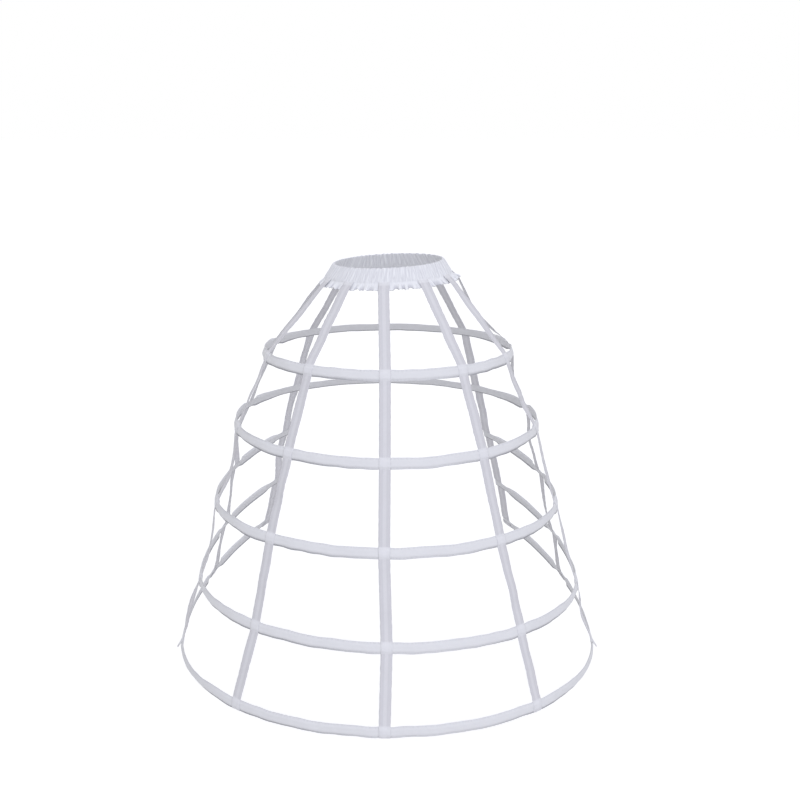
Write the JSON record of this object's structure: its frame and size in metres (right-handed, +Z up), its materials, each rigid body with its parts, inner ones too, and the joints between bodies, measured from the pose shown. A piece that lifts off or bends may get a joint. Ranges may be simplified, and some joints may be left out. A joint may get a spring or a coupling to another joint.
{
  "type": "crinoline cage",
  "caption": "Hoop skirt frame: sprung hoops in fabric casings, hung on ribbon tapes from a gathered elastic waistband, open at the lower front.",
  "frame": {"origin": "middle of the opening at the top edge of the waistband, which the wearer's waist fills", "axes": "+Z up along the wearer, -Y towards the wearer's back, +Y towards the open front, +X across"},
  "size_m": [1.0033, 0.871, 0.9185],
  "materials": {
    "gathered_cotton": "gathered white cotton",
    "cotton_casing": "white cotton, sewn edges",
    "cotton_tape": "white twill tape",
    "elastic": "ribbed white elastic",
    "coated_spring_steel": "white coating",
    "bright_steel": "bright tinned"
  },
  "bodies": {
    "root": {"hoop_1_bone": "coated_spring_steel", "hoop_1_casing": "cotton_casing", "hoop_1_joining_sleeve": "bright_steel", "hoop_2_bone": "coated_spring_steel", "hoop_2_casing": "cotton_casing", "hoop_2_joining_sleeve": "bright_steel", "hoop_3_bone": "coated_spring_steel", "hoop_3_casing": "cotton_casing", "hoop_3_end_cap_left": "bright_steel", "hoop_3_end_cap_right": "bright_steel", "hoop_4_bone": "coated_spring_steel", "hoop_4_casing": "cotton_casing", "hoop_4_end_cap_left": "bright_steel", "hoop_4_end_cap_right": "bright_steel", "hoop_5_bone": "coated_spring_steel", "hoop_5_casing": "cotton_casing", "hoop_5_end_cap_left": "bright_steel", "hoop_5_end_cap_right": "bright_steel", "tape_back_centre": "cotton_tape", "tape_back_left": "cotton_tape", "tape_back_right": "cotton_tape", "tape_flank_left": "cotton_tape", "tape_flank_right": "cotton_tape", "tape_front_left": "cotton_tape", "tape_front_right": "cotton_tape", "tape_side_left": "cotton_tape", "tape_side_right": "cotton_tape", "waistband_casing": "gathered_cotton", "waistband_elastic": "elastic"}
  },
  "joints": []
}
